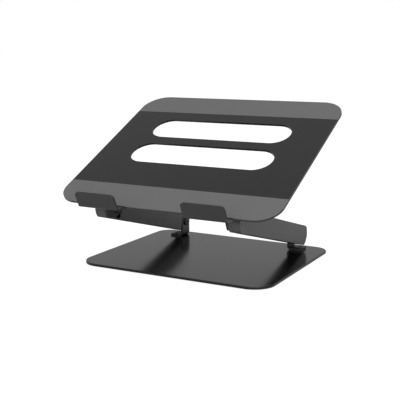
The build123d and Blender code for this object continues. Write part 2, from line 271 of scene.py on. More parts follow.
def handling_marks_group() -> Graph:
    """Mask of faint smears and touch marks, stretched along one direction.

    Returns:
        The group's graph.
    """
    number = "NodeSocketFloat"
    graph = new_group(
        "handling_marks",
        "ShaderNodeTree",
        [("Size", number, 18.0), ("Stretch", number, 3.0), ("Coverage", number, 0.55)],
        [("Mask", number)],
    )
    given = graph.tree.nodes["in"].outputs
    place = graph.add("ShaderNodeTexCoord").outputs["Object"]
    scale = graph.add("ShaderNodeCombineXYZ", {0: 1.0, 1: given["Stretch"], 2: given["Stretch"]})
    stretched = graph.add("ShaderNodeVectorMath", {0: place, 1: scale.outputs[0]}, operation="MULTIPLY")
    smear = graph.add(
        "ShaderNodeTexNoise",
        {"Vector": stretched.outputs[0], "Scale": given["Size"], "Detail": 6.0, "Distortion": 0.8},
    )
    lifted = graph.maths("SUBTRACT", smear.outputs[0], given["Coverage"])
    mask = graph.maths("MULTIPLY", lifted, SMEAR_CONTRAST, clamp=True)
    graph.tree.links.new(mask, graph.tree.nodes["out"].inputs["Mask"])
    return graph


def brushing_group() -> Graph:
    """Height and tone of fine lines left along one axis by a grinding belt.

    Returns:
        The group's graph.
    """
    number = "NodeSocketFloat"
    graph = new_group(
        "brushing",
        "ShaderNodeTree",
        [("Line Scale", number, 900.0), ("Run Along", "NodeSocketVector", (0.03, 1.0, 1.0))],
        [("Lines", number)],
    )
    given = graph.tree.nodes["in"].outputs
    place = graph.add("ShaderNodeTexCoord").outputs["Object"]
    run = graph.add("ShaderNodeVectorMath", {0: place, 1: given["Run Along"]}, operation="MULTIPLY")
    lines = graph.add(
        "ShaderNodeTexNoise",
        {"Vector": run.outputs[0], "Scale": given["Line Scale"], "Detail": 3.0, "Roughness": 0.7},
    )
    graph.tree.links.new(lines.outputs[0], graph.tree.nodes["out"].inputs["Lines"])
    return graph


class Effect(Enum):
    """The shared surface effects, with the function that builds each group."""

    EDGE_WEAR = (edge_wear_group,)
    FINE_GRAIN = (fine_grain_group,)
    HANDLING = (handling_marks_group,)
    BRUSHING = (brushing_group,)

    @property
    def tree(self) -> bpy.types.NodeTree:
        """The effect's node group, built when it is first asked for.

        Returns:
            The node group.
        """
        builder: Callable[[], Graph] = self.value[0]
        name = builder.__name__.removesuffix("_group")
        return bpy.data.node_groups.get(name) or builder().tree


def place_effect(graph: Graph, effect: Effect, values: dict[str, object]) -> Node:
    """Put a shared effect in a material.

    Args:
        graph: the material's graph.
        effect: which effect.
        values: its inputs by name.

    Returns:
        The group node.
    """
    node = graph.add("ShaderNodeGroup", node_tree=effect.tree)
    for key, value in values.items():
        node.inputs[key].default_value = value
    return node


# ------------------------------------------------------------------ finishes
@dataclass(frozen=True)
class Finish:
    """What every finish shares.

    Attributes:
        name: the material's name.
        colour: base colour, linear.
        roughness: mean roughness.
        roughness_play: how far smears and mottle move the roughness.
        grain_scale: grain frequency, per metre.
        grain_depth: depth of the grain, in metres.
        grain_strength: strength of the grain's bump.
        colour_play: how far the mottle darkens and lightens the colour.
    """

    name: str
    colour: Colour
    roughness: float
    roughness_play: float = 0.1
    grain_scale: float = 2500.0
    grain_depth: float = 0.00002
    grain_strength: float = 0.6
    colour_play: float = 0.07

    def start(self) -> tuple[bpy.types.Material, Graph, Node]:
        """Make the empty material.

        Returns:
            The material, its graph and its Principled node.
        """
        material = bpy.data.materials.new(self.name)
        material.use_nodes = True
        graph = Graph(material.node_tree)
        return material, graph, material.node_tree.nodes["Principled BSDF"]

    def bump(self, graph: Graph, shader: Node, height: Socket) -> None:
        """Give the shader a bump of the grain's depth.

        Args:
            graph: the material's graph.
            shader: its Principled node.
            height: the height's socket.
        """
        bump = graph.add("ShaderNodeBump", {"Height": height, "Distance": self.grain_depth})
        bump.inputs["Strength"].default_value = self.grain_strength
        graph.tree.links.new(bump.outputs[0], shader.inputs["Normal"])

    def ground(self, graph: Graph, mask: Socket) -> Socket:
        """Move the base colour about its mean by a mask.

        Args:
            graph: the material's graph.
            mask: socket between 0 and 1.

        Returns:
            The colour's socket.
        """
        dark = tuple(channel * (1 - self.colour_play) for channel in self.colour)
        light = tuple(channel * (1 + self.colour_play) for channel in self.colour)
        return graph.blend(mask, rgba(dark), rgba(light))

    def grain(self, graph: Graph, shader: Node, pitting: float = 0.3) -> Socket:
        """Give the shader a fine bump.

        Args:
            graph: the material's graph.
            shader: its Principled node.
            pitting: share of pits in the grain.

        Returns:
            The mottle's socket.
        """
        values = {"Grain Scale": self.grain_scale, "Pitting": pitting}
        grain = place_effect(graph, Effect.FINE_GRAIN, values)
        self.bump(graph, shader, grain.outputs["Height"])
        return grain.outputs["Mottle"]

    def vary_roughness(self, graph: Graph, shader: Node, mask: Socket) -> None:
        """Move the roughness about its mean by a mask.

        Args:
            graph: the material's graph.
            shader: its Principled node.
            mask: socket between 0 and 1.
        """
        low = self.roughness - self.roughness_play
        high = self.roughness + self.roughness_play
        moved = graph.add("ShaderNodeMapRange", {0: mask, 3: low, 4: high})
        graph.tree.links.new(moved.outputs[0], shader.inputs["Roughness"])

    def build(self) -> bpy.types.Material:
        """Make the material; each kind of finish says how."""
        raise NotImplementedError(self.name)


@dataclass(frozen=True)
class PowderCoat(Finish):
    """Baked powder coat on sheet metal.

    Attributes:
        wear_colour: tone that shows through where edges are rubbed.
        wear: how strongly edges are rubbed.
        wear_width: width of a rubbed edge, in metres.
        specular: the coat's specular level.
        smear_share: how much a smear counts beside the mottle.
        smear_size: frequency of the smears, per metre.
        smear_stretch: how much longer a smear is than wide.
        smear_coverage: noise level above which a smear shows.
    """

    wear_colour: Colour = (0.16, 0.16, 0.165)
    wear: float = 2.5
    wear_width: float = 0.0005
    specular: float = 0.5
    smear_share: float = 0.35
    smear_size: float = 16.0
    smear_stretch: float = 2.5
    smear_coverage: float = 0.52
    colour_play: float = 0.14

    def build(self) -> bpy.types.Material:
        """Make the powder coat's material.

        Returns:
            The material.
        """
        material, graph, shader = self.start()
        shader.inputs["Specular IOR Level"].default_value = self.specular
        mottle = self.grain(graph, shader)
        values = {
            "Size": self.smear_size,
            "Stretch": self.smear_stretch,
            "Coverage": self.smear_coverage,
        }
        smears = place_effect(graph, Effect.HANDLING, values)
        both = graph.maths("MULTIPLY_ADD", smears.outputs[0], self.smear_share)
        graph.tree.links.new(mottle, both.node.inputs[2])
        self.vary_roughness(graph, shader, both)
        ground = self.ground(graph, mottle)
        wear = {"Width": self.wear_width, "Strength": self.wear}
        worn = place_effect(graph, Effect.EDGE_WEAR, wear)
        tone = graph.blend(worn.outputs["Mask"], ground, rgba(self.wear_colour))
        graph.tree.links.new(tone, shader.inputs["Base Color"])
        return material


@dataclass(frozen=True)
class Silicone(Finish):
    """Moulded silicone or rubber with a dry, slightly dusty face.

    Attributes:
        dust: how much pale dust lies on it.
        specular: its specular level.
        pitting: share of pits in its grain.
        speck_scale: frequency of the dust specks, per metre.
        speck_size: radius of a speck, as a share of the specks' spacing.
        speck_colour: tone of the dust.
    """

    dust: float = 0.12
    specular: float = 0.35
    pitting: float = 0.6
    speck_scale: float = 900.0
    speck_size: float = 0.09
    speck_colour: Colour = (0.5, 0.5, 0.5)

    def build(self) -> bpy.types.Material:
        """Make the silicone's material.

        Returns:
            The material.
        """
        material, graph, shader = self.start()
        shader.inputs["Specular IOR Level"].default_value = self.specular
        mottle = self.grain(graph, shader, self.pitting)
        self.vary_roughness(graph, shader, mottle)
        place = graph.add("ShaderNodeTexCoord").outputs["Object"]
        specks = graph.add(
            "ShaderNodeTexVoronoi", {"Vector": place, "Scale": self.speck_scale, "Randomness": 1.0}
        )
        near = graph.maths("LESS_THAN", specks.outputs["Distance"], self.speck_size)
        dust = graph.maths("MULTIPLY", near, graph.maths("MULTIPLY", mottle, self.dust))
        tone = graph.blend(dust, self.ground(graph, mottle), rgba(self.speck_colour))
        graph.tree.links.new(tone, shader.inputs["Base Color"])
        return material


@dataclass(frozen=True)
class Steel(Finish):
    """Bare or blackened steel with grinding lines and bright rubbed edges.

    Attributes:
        metallic: 1 for bare metal, less for a thin black oxide.
        wear: how strongly edges are rubbed bright.
        wear_width: width of a rubbed edge, in metres.
        wear_colour: tone of rubbed steel.
        line_scale: frequency of the grinding lines, per metre.
        run_along: scale of the lines on each axis; the smallest is the way that they run.
    """

    metallic: float = 1.0
    wear: float = 4.0
    wear_width: float = 0.0003
    wear_colour: Colour = (0.3, 0.3, 0.31)
    line_scale: float = 1400.0
    run_along: tuple[float, float, float] = (1.0, 0.05, 0.05)
    grain_strength: float = 0.35
    colour_play: float = 0.2

    def build(self) -> bpy.types.Material:
        """Make the steel's material.

        Returns:
            The material.
        """
        material, graph, shader = self.start()
        shader.inputs["Metallic"].default_value = self.metallic
        values = {"Line Scale": self.line_scale, "Run Along": self.run_along}
        lines = place_effect(graph, Effect.BRUSHING, values).outputs["Lines"]
        self.bump(graph, shader, lines)
        self.vary_roughness(graph, shader, lines)
        wear = {"Width": self.wear_width, "Strength": self.wear}
        worn = place_effect(graph, Effect.EDGE_WEAR, wear)
        ground = self.ground(graph, lines)
        tone = graph.blend(worn.outputs["Mask"], ground, rgba(self.wear_colour))
        graph.tree.links.new(tone, shader.inputs["Base Color"])
        return material


@dataclass
class Finishes:
    """Every finish of the stand, each made once."""

    made: dict[str, bpy.types.Material] = field(default_factory=dict)

    SHEET = PowderCoat("black_sheet_coat", (0.012, 0.012, 0.0124), 0.30, 0.05, 2200.0, 0.000008)
    BASE = PowderCoat("black_base_coat", (0.004, 0.004, 0.0042), 0.17, 0.03, 2200.0, 0.000005)
    ARM = PowderCoat("arm_coat", (0.060, 0.060, 0.062), 0.42, 0.05, 2800.0, 0.000010)
    FOOT_BRACKET = PowderCoat("satin_bracket_coat", (0.012, 0.012, 0.0124), 0.34, 0.05, 2600.0, 0.000008)
    BRACKET = PowderCoat("bracket_coat", (0.010, 0.010, 0.010), 0.45, 0.08, 3000.0, 0.000010, wear=1.5)
    PAD = Silicone("grey_silicone", (0.125, 0.125, 0.127), 0.62, 0.06, 3200.0, 0.000020)
    LINER = Silicone("liner_silicone", (0.075, 0.075, 0.077), 0.66, 0.06, 3200.0, 0.000020)
    FOOT = Silicone("foot_rubber", (0.020, 0.020, 0.020), 0.78, 0.08, 2600.0, 0.000030, dust=0.25)
    FASTENER = Steel("blackened_fastener", (0.035, 0.035, 0.036), 0.38, 0.08, metallic=0.6)
    SPRING = Steel("spring_steel", (0.42, 0.42, 0.43), 0.30, 0.08)
    LINK = Steel("link_steel", (0.20, 0.20, 0.205), 0.42, 0.10, run_along=(1.0, 0.04, 1.0))
    WASHER = Silicone("friction_polymer", (0.30, 0.28, 0.24), 0.50, 0.05, 2000.0, 0.000010, dust=0.0)

    def get(self, finish: Finish) -> bpy.types.Material:
        """The finish's material, built the first time.

        Args:
            finish: one of the finishes above.

        Returns:
            Its material.
        """
        if finish.name not in self.made:
            self.made[finish.name] = finish.build()
        return self.made[finish.name]


# ------------------------------------------------------------------ meshes
def dress(piece: bpy.types.Object, material: bpy.types.Material) -> None:
    """Give an object one material."""
    piece.data.materials.clear()
    piece.data.materials.append(material)


def new_piece(name: str, mesh: bpy.types.Mesh) -> bpy.types.Object:
    """Link a mesh to the scene as an object at the origin.

    Args:
        name: the object's name.
        mesh: its mesh.

    Returns:
        The new object.
    """
    piece = bpy.data.objects.new(name, mesh)
    bpy.context.scene.collection.objects.link(piece)
    return piece


def clean_copy(node: str) -> bpy.types.Mesh:
    """Copy a CAD node's mesh with its loose triangles joined and its flat faces whole.

    Args:
        node: the CAD node's name.

    Returns:
        The new mesh.
    """
    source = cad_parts[node].data
    shape = bmesh.new()
    shape.from_mesh(source)
    bmesh.ops.remove_doubles(shape, verts=shape.verts, dist=JOIN_DISTANCE)
    bmesh.ops.dissolve_limit(shape, angle_limit=FLAT_ANGLE, verts=shape.verts, edges=shape.edges)
    mesh = bpy.data.meshes.new(f"{node}_shape")
    shape.to_mesh(mesh)
    shape.free()
    return mesh


@dataclass
class SoftenedPiece:
    """A CAD node redone with eased edges and smooth curved faces.

    Attributes:
        node: the CAD node that it stands for.
        body: the body that it rides on.
        slot: the record's material slot; not used.
        finish: its finish.
        edge: width of the eased edge, in metres.
        segments: faces across the eased edge.
    """

    node: str
    body: str
    slot: str
    finish: Finish
    edge: float = 0.0003
    segments: int = 3

    def build(self, finishes: Finishes) -> bpy.types.Object:
        """Make the piece and put it on its body.

        Args:
            finishes: the stand's finishes.

        Returns:
            The new object.
        """
        mesh = clean_copy(self.node)
        piece = new_piece(f"{self.node}_finished", mesh)
        bevel = piece.modifiers.new("eased_edge", "BEVEL")
        bevel.width = self.edge
        bevel.segments = self.segments
        bevel.limit_method = "ANGLE"
        bevel.angle_limit = EASED_ANGLE
        bevel.use_clamp_overlap = True
        bevel.miter_outer = "MITER_ARC"
        mesh.shade_smooth()
        weigh = piece.modifiers.new("level_faces", "WEIGHTED_NORMAL")
        weigh.mode = "FACE_AREA"
        weigh.weight = LEVEL_WEIGHT
        dress(piece, finishes.get(self.finish))
        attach(piece, self.body)
        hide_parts(self.node)
        return piece


# ------------------------------------------------------------------ fastenings and feet
def loft_rings(name: str, rings: Sequence[Ring], steps: int = LATHE_STEPS) -> bpy.types.Mesh:
    """Close a stack of rings round Z into a solid.

    Args:
        name: the mesh's name.
        rings: height, radius and whether the ring is a hexagon, from the tip to the bore's floor.
        steps: points in each ring.

    Returns:
        The closed mesh.
    """
    shape = bmesh.new()
    loops: list[list[bmesh.types.BMVert]] = []
    for height, radius, hexagonal in rings:
        loop = []
        for step in range(steps):
            angle = 2 * pi * step / steps
            reach = radius
            if hexagonal:
                off_flat = (angle + pi / 6) % (pi / 3) - pi / 6
                reach = radius / cos(off_flat)
            loop.append(shape.verts.new((reach * cos(angle), reach * sin(angle), height)))
        loops.append(loop)
    for lower, upper in zip(loops, loops[1:]):
        for step in range(steps):
            after = (step + 1) % steps
            shape.faces.new((lower[step], lower[after], upper[after], upper[step]))
    shape.faces.new(list(reversed(loops[0])))
    shape.faces.new(loops[-1])
    bmesh.ops.recalc_face_normals(shape, faces=shape.faces)
    mesh = bpy.data.meshes.new(name)
    shape.to_mesh(mesh)
    shape.free()
    mesh.shade_smooth()
    mesh.set_sharp_from_angle(angle=SHARP_ANGLE)
    return mesh


def point_cloud(name: str, places: Sequence[Vector], turns: Sequence[float]) -> bpy.types.Object:
    """Object of bare points that geometry nodes put copies on.

    Args:
        name: the object's name.
        places: where the copies go.
        turns: each copy's turn about Y, in radians.

    Returns:
        The object, whose points carry the turn as an attribute.
    """
    mesh = bpy.data.meshes.new(name)
    mesh.from_pydata([tuple(place) for place in places], [], [])
    turn = mesh.attributes.new("turn", "FLOAT", "POINT")
    turn.data.foreach_set("value", list(turns))
    return new_piece(name, mesh)


def finish_tree(graph: Graph, instances: Socket) -> bpy.types.NodeTree:
    """End a geometry tree: make its instances real and give them the tree's finish.

    Args:
        graph: the tree's graph.
        instances: the socket of its instances.

    Returns:
        The finished tree.
    """
    finish = graph.tree.nodes["in"].outputs["Finish"]
    solid = graph.add("GeometryNodeRealizeInstances", {0: instances})
    finished = graph.add(
        "GeometryNodeSetMaterial", {"Geometry": solid.outputs[0], "Material": finish}
    )
    graph.tree.links.new(finished.outputs[0], graph.tree.nodes["out"].inputs[0])
    return graph.tree


def raised(graph: Graph, geometry: Socket, height: Socket) -> Socket:
    """Move geometry up.

    Args:
        graph: the tree's graph.
        geometry: the geometry's socket.
        height: how far up, as a socket.

    Returns:
        The moved geometry's socket.
    """
    up = graph.add("ShaderNodeCombineXYZ", {2: height})
    moved = graph.add("GeometryNodeTransform", {"Geometry": geometry, "Translation": up.outputs[0]})
    return moved.outputs[0]


def fastener_row_tree() -> bpy.types.NodeTree:
    """Geometry nodes that set a fastener on each point, turned, its socket at a chance angle.

    Returns:
        The node tree.
    """
    graph = new_group(
        "fastener_row",
        "GeometryNodeTree",
        [
            ("Points", "NodeSocketGeometry", None),
            ("Fastener", "NodeSocketObject", None),
            ("Largest Spin", "NodeSocketFloat", pi / 3),
            ("Seed", "NodeSocketInt", 7),
            ("Finish", "NodeSocketMaterial", None),
        ],
        [("Row", "NodeSocketGeometry")],
    )
    given = graph.tree.nodes["in"].outputs
    fastener = graph.add("GeometryNodeObjectInfo", {"Object": given["Fastener"]})
    turn = graph.add("GeometryNodeInputNamedAttribute", {"Name": "turn"}, data_type="FLOAT")
    facing = graph.add("ShaderNodeCombineXYZ", {1: turn.outputs["Attribute"]})
    row = graph.add(
        "GeometryNodeInstanceOnPoints",
        {"Points": given["Points"], "Instance": fastener.outputs["Geometry"]},
    )
    spin = graph.add("FunctionNodeRandomValue", data_type="FLOAT")
    graph.tree.links.new(given["Largest Spin"], spin.inputs[3])
    graph.tree.links.new(given["Seed"], spin.inputs["Seed"])
    about = graph.add("ShaderNodeCombineXYZ", {2: spin.outputs[1]})
    faced = graph.add(
        "GeometryNodeRotateInstances", {"Instances": row.outputs[0], "Rotation": facing.outputs[0]}
    )
    spun = graph.add(
        "GeometryNodeRotateInstances", {"Instances": faced.outputs[0], "Rotation": about.outputs[0]}
    )
    return finish_tree(graph, spun.outputs[0])


def foot_tread_tree() -> bpy.types.NodeTree:
    """Geometry nodes that set a ring-treaded rubber foot on each point.

    Returns:
        The node tree.
    """
    number = "NodeSocketFloat"
    graph = new_group(
        "foot_tread",
        "GeometryNodeTree",
        [
            ("Points", "NodeSocketGeometry", None),
            ("Radius", number, 0.009),
            ("Height", number, 0.001),
            ("Rim Bevel", number, 0.0003),
            ("Ring Count", "NodeSocketInt", 5),
            ("Ring Wire", number, 0.00025),
            ("Finish", "NodeSocketMaterial", None),
        ],
        [("Feet", "NodeSocketGeometry")],
    )
    given = graph.tree.nodes["in"].outputs
    disc_height = graph.maths("SUBTRACT", given["Height"], given["Ring Wire"])
    wall_height = graph.maths("SUBTRACT", disc_height, given["Rim Bevel"])
    small = graph.maths("SUBTRACT", given["Radius"], given["Rim Bevel"])
    disc = graph.add(
        "GeometryNodeMeshCone",
        {
            "Vertices": TREAD_STEPS,
            "Radius Top": given["Radius"],
            "Radius Bottom": small,
            "Depth": given["Rim Bevel"],
        },
    )
    wall = graph.add(
        "GeometryNodeMeshCylinder",
        {"Vertices": TREAD_STEPS, "Radius": given["Radius"], "Depth": wall_height},
    )
    wall_mid = graph.maths("SUBTRACT", given["Height"], graph.maths("MULTIPLY", wall_height, 0.5))
    line = graph.add("GeometryNodeMeshLine", {"Count": given["Ring Count"], "Offset": (0.0, 0.0, 0.0)})
    index = graph.add("GeometryNodeInputIndex")
    order = graph.maths("ADD", index.outputs[0], 1.0)
    pitch = graph.maths("DIVIDE", small, graph.maths("ADD", given["Ring Count"], TREAD_MARGIN))
    reach = graph.maths("MULTIPLY", order, pitch)
    circle = graph.add("GeometryNodeCurvePrimitiveCircle", {"Resolution": TREAD_STEPS, "Radius": 1.0})
    rings = graph.add(
        "GeometryNodeInstanceOnPoints",
        {"Points": line.outputs[0], "Instance": circle.outputs[0], "Scale": reach},
    )
    ring_curves = graph.add("GeometryNodeRealizeInstances", {0: rings.outputs[0]})
    wire = graph.add(
        "GeometryNodeCurvePrimitiveCircle", {"Resolution": WIRE_STEPS, "Radius": given["Ring Wire"]}
    )
    tread = graph.add(
        "GeometryNodeCurveToMesh", {"Curve": ring_curves.outputs[0], "Profile Curve": wire.outputs[0]}
    )
    foot = graph.add("GeometryNodeJoinGeometry")
    layers = (
        (tread.outputs[0], given["Ring Wire"]),
        (wall.outputs[0], wall_mid),
        (disc.outputs[0], given["Ring Wire"]),
    )
    for layer, height in layers:
        graph.tree.links.new(raised(graph, layer, height), foot.inputs[0])
    feet = graph.add(
        "GeometryNodeInstanceOnPoints", {"Points": given["Points"], "Instance": foot.outputs[0]}
    )
    return finish_tree(graph, feet.outputs[0])


def grow(
    points: bpy.types.Object, tree: bpy.types.NodeTree, name: str, values: dict[str, object]
) -> bpy.types.Object:
    """Run geometry nodes on an object and keep the result as a plain mesh.

    Args:
        points: the object that carries the points.
        tree: the geometry nodes.
        name: the finished piece's name.
        values: the tree's inputs by name.

    Returns:
        The finished piece; the points' object is removed.
    """
    modifier = points.modifiers.new("grow", "NODES")
    modifier.node_group = tree
    for item in tree.interface.items_tree:
        if item.item_type == "SOCKET" and item.in_out == "INPUT" and item.name in values:
            modifier[item.identifier] = values[item.name]
    points.update_tag()
    bpy.context.view_layer.update()
    ready = points.evaluated_get(bpy.context.evaluated_depsgraph_get())
    mesh = bpy.data.meshes.new_from_object(ready)
    points.modifiers.clear()
    bpy.data.objects.remove(points)
    mesh.name = name
    return new_piece(name, mesh)


@dataclass
class Fasteners:
    """A set of identical fasteners on one body, laid out by geometry nodes.

    Attributes:
        name: the finished piece's name.
        body: the body that they ride on.
        nodes: the CAD nodes that they stand for.
        rings: the fastener's ring stack, in millimetres.
        places: seat of each fastener, where its head meets the work.
        turns: each one's turn about Y, in radians.
        seed: seed of the chance angle of their sockets.
    """

    name: str
    body: str
    nodes: Sequence[str]
    rings: Sequence[Ring]
    places: Sequence[Vector]
    turns: Sequence[float]
    seed: int

    def build(self, finishes: Finishes) -> bpy.types.Object:
        """Make the fasteners and put them on their body.

        Args:
            finishes: the stand's finishes.

        Returns:
            The new object.
        """
        metres = [(height * MM, radius * MM, hexagonal) for height, radius, hexagonal in self.rings]
        pattern = new_piece(f"{self.name}_pattern", loft_rings(f"{self.name}_pattern", metres))
        tree = bpy.data.node_groups.get("fastener_row") or fastener_row_tree()
        cloud = point_cloud(f"{self.name}_points", self.places, self.turns)
        values = {"Fastener": pattern, "Seed": self.seed, "Finish": finishes.get(Finishes.FASTENER)}
        piece = grow(cloud, tree, self.name, values)
        bpy.data.objects.remove(pattern)
        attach(piece, self.body)
        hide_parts(*self.nodes)
        return piece


# ------------------------------------------------------------------ sub-assemblies
def head_size(rings: Sequence[Ring]) -> tuple[float, float]:
    """Height and radius of a fastener's head, in metres."""
    return max(ring[0] for ring in rings) * MM, max(ring[1] for ring in rings) * MM


def middle(node: str) -> Vector:
    """Centre of a CAD node's box."""
    low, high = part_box(node)
    return (low + high) / 2


def refinish(node: str, material: bpy.types.Material) -> None:
    """Give a CAD node whose shape is right its finish."""
    dress(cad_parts[node], material)


@dataclass
class PivotHardware:
    """Bolts, washers, springs and nuts at one end of the arms.

    Attributes:
        end: "rear" or "front".
        body: the body that the bolts are tight in.
        seed: seed of the bolts' chance angle.
        bolt_rings: ring stack of a bolt, in millimetres, head up, seat at 0.
    """

    end: str
    body: str
    seed: int
    bolt_rings: tuple[Ring, ...] = (
        (-12.8, 2.1, False),
        (-12.4, 2.5, False),
        (0.0, 2.5, False),
        (0.0, 4.5, False),
        (1.1, 4.5, False),
        (1.5, 4.38, False),
        (1.8, 4.1, False),
        (1.95, 3.7, False),
        (2.0, 3.2, False),
        (2.0, 1.62, True),
        (1.88, 1.5, True),
        (0.8, 1.5, True),
        (0.55, 0.4, False),
    )

    def build(self, finishes: Finishes) -> None:
        """Make the bolts and finish the small hardware.

        Args:
            finishes: the stand's finishes.
        """
        places, turns, nodes = [], [], []
        head_height, _ = head_size(self.bolt_rings)
        for side, sign in (("left", -1), ("right", 1)):
            node = f"{side}_{self.end}_pivot_bolt"
            low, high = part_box(node)
            inner = min(abs(low.x), abs(high.x))
            centre = middle(node)
            places.append(Vector((sign * (inner + head_height), centre.y, centre.z)))
            turns.append(-sign * pi / 2)
            nodes.append(node)
        name = f"{self.end}_pivot_bolts"
        bolts = Fasteners(name, self.body, nodes, self.bolt_rings, places, turns, self.seed)
        bolts.build(finishes)
        refinish(f"{self.end}_friction_washers", finishes.get(Finishes.WASHER))
        refinish(f"{self.end}_disc_springs", finishes.get(Finishes.SPRING))
        refinish(f"{self.end}_lock_nuts", finishes.get(Finishes.FASTENER))


@dataclass
class BaseAssembly:
    """Base plate, its feet, the foot brackets and their screws.

    Attributes:
        plate_edge: eased edge of the base plate.
        bracket_edge: eased edge of the brackets.
        foot_rings: rings on a foot's tread.
        bolt_seed: seed of the pivot bolts' chance angle.
        screw_seed: seed of the bracket screws' chance angle.
        screw_rings: ring stack of a bracket screw, in millimetres, head up, seat at 0.
    """

    plate_edge: float = 0.0004
    bracket_edge: float = 0.00025
    foot_rings: int = 5
    bolt_seed: int = 11
    screw_seed: int = 5
    screw_rings: tuple[Ring, ...] = (
        (-4.2, 1.6, False),
        (-3.9, 1.95, False),
        (0.0, 1.95, False),
        (0.0, 3.0, False),
        (0.85, 3.0, False),
        (1.1, 2.9, False),
        (1.25, 2.7, False),
        (1.3, 2.4, False),
        (1.3, 1.35, True),
        (1.2, 1.25, True),
        (0.5, 1.25, True),
        (0.35, 0.3, False),
    )

    def build(self, finishes: Finishes) -> None:
        """Make the base's pieces.

        Args:
            finishes: the stand's finishes.
        """
        coat, bracket_coat = Finishes.BASE, Finishes.FOOT_BRACKET
        pieces = [SoftenedPiece("base_plate", "base", "black_sheet_paint", coat, self.plate_edge)]
        for side in ("left", "right"):
            node = f"{side}_foot_bracket"
            pieces.append(SoftenedPiece(node, "base", "black_steel", bracket_coat, self.bracket_edge))
        for piece in pieces:
            piece.build(finishes)
        self.feet(finishes)
        self.screws(finishes)
        PivotHardware("rear", "base", self.bolt_seed).build(finishes)

    def feet(self, finishes: Finishes) -> bpy.types.Object:
        """Make the four treaded rubber feet.

        Args:
            finishes: the stand's finishes.

        Returns:
            The feet as one piece.
        """
        nodes = [f"{end}_{side}_foot" for end in ("front", "rear") for side in ("left", "right")]
        low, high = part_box(nodes[0])
        centres = [middle(node) for node in nodes]
        places = [Vector((centre.x, centre.y, low.z)) for centre in centres]
        cloud = point_cloud("feet_points", places, [0.0] * len(places))
        values = {
            "Radius": (high.x - low.x) / 2,
            "Height": high.z - low.z,
            "Ring Count": self.foot_rings,
            "Finish": finishes.get(Finishes.FOOT),
        }
        feet = grow(cloud, foot_tread_tree(), "treaded_feet", values)
        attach(feet, "base")
        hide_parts(*nodes)
        return feet

    def screws(self, finishes: Finishes) -> bpy.types.Object:
        """Make the screws that hold the foot brackets down.

        Args:
            finishes: the stand's finishes.

        Returns:
            The screws as one piece.
        """
        low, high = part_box("foot_bracket_screws")
        head_height, head_radius = head_size(self.screw_rings)
        seat = high.z - head_height
        across = high.x - head_radius
        rows = (low.y + head_radius, high.y - head_radius)
        places = [Vector((side * across, y, seat)) for side in (-1, 1) for y in rows]
        row = Fasteners(
            "foot_bracket_cap_screws",
            "base",
            ["foot_bracket_screws"],
            self.screw_rings,
            places,
            [0.0] * len(places),
            self.screw_seed,
        )
        return row.build(finishes)


@dataclass
class ArmAssembly:
    """The two arms: shell, inner cover, link bar and its screws.

    Attributes:
        shell_edge: eased edge of the pressed shell.
        cover_edge: eased edge of the cover.
    """

    shell_edge: float = 0.0004
    cover_edge: float = 0.0002

    def build(self, finishes: Finishes) -> None:
        """Make the arms' pieces.

        Args:
            finishes: the stand's finishes.
        """
        for side in ("left", "right"):
            for part, edge in (("shell", self.shell_edge), ("cover", self.cover_edge)):
                node = f"{side}_arm_{part}"
                piece = SoftenedPiece(node, "arms", "arm_paint", Finishes.ARM, edge)
                piece.build(finishes)
            refinish(f"{side}_arm_link", finishes.get(Finishes.LINK))
        refinish("link_screws", finishes.get(Finishes.FASTENER))


@dataclass
class TrayAssembly:
    """Tray plate with its hooks, grip pads, liners, brackets and hardware.

    Attributes:
        plate_edge: eased edge of the tray's sheet.
        pad_edge: rolled edge of the silicone pads.
        liner_edge: rolled edge of the hooks' liners.
        bracket_edge: eased edge of the brackets.
        bolt_seed: seed of the pivot bolts' chance angle.
    """

    plate_edge: float = 0.00035
    pad_edge: float = 0.0002
    liner_edge: float = 0.00025
    bracket_edge: float = 0.00025
    bolt_seed: int = 23

    def build(self, finishes: Finishes) -> None:
        """Make the tray's pieces.

        Args:
            finishes: the stand's finishes.
        """
        liner = ("liner_silicone", Finishes.LINER, self.liner_edge)
        bracket = ("black_steel", Finishes.BRACKET, self.bracket_edge)
        rows = {
            "tray_plate": ("black_sheet_paint", Finishes.SHEET, self.plate_edge),
            "front_grip_pad": ("grey_silicone", Finishes.PAD, self.pad_edge),
            "rear_grip_pad": ("grey_silicone", Finishes.PAD, self.pad_edge),
            "left_hook_liner": liner,
            "left_tray_bracket": bracket,
            "right_hook_liner": liner,
            "right_tray_bracket": bracket,
        }
        for node, (slot, finish, edge) in rows.items():
            SoftenedPiece(node, "tray", slot, finish, edge).build(finishes)
        refinish("tray_bracket_screws", finishes.get(Finishes.FASTENER))
        PivotHardware("front", "tray", self.bolt_seed).build(finishes)


# ------------------------------------------------------------------ studio
@dataclass(frozen=True)
class Lamp:
    """One square lamp that faces the stand.

    Attributes:
        name: the lamp's name.
        place: where it hangs.
        size: its side.
        power: its power, in watts.
        facing: the point that it faces.
    """

    name: str
    place: tuple[float, float, float]
    size: float
    power: float
    facing: tuple[float, float, float] = (0.0, 0.0, 0.08)

    def hang(self) -> None:
        """Hang the lamp in the scene."""
        light = bpy.data.lights.new(self.name, "AREA")
        light.shape = "SQUARE"
        light.size = self.size
        light.energy = self.power
        lamp = bpy.data.objects.new(self.name, light)
        bpy.context.scene.collection.objects.link(lamp)
        toward = Vector(self.facing) - Vector(self.place)
        lamp.location = self.place
        lamp.rotation_mode = "QUATERNION"
        lamp.rotation_quaternion = toward.to_track_quat("-Z", "Y")


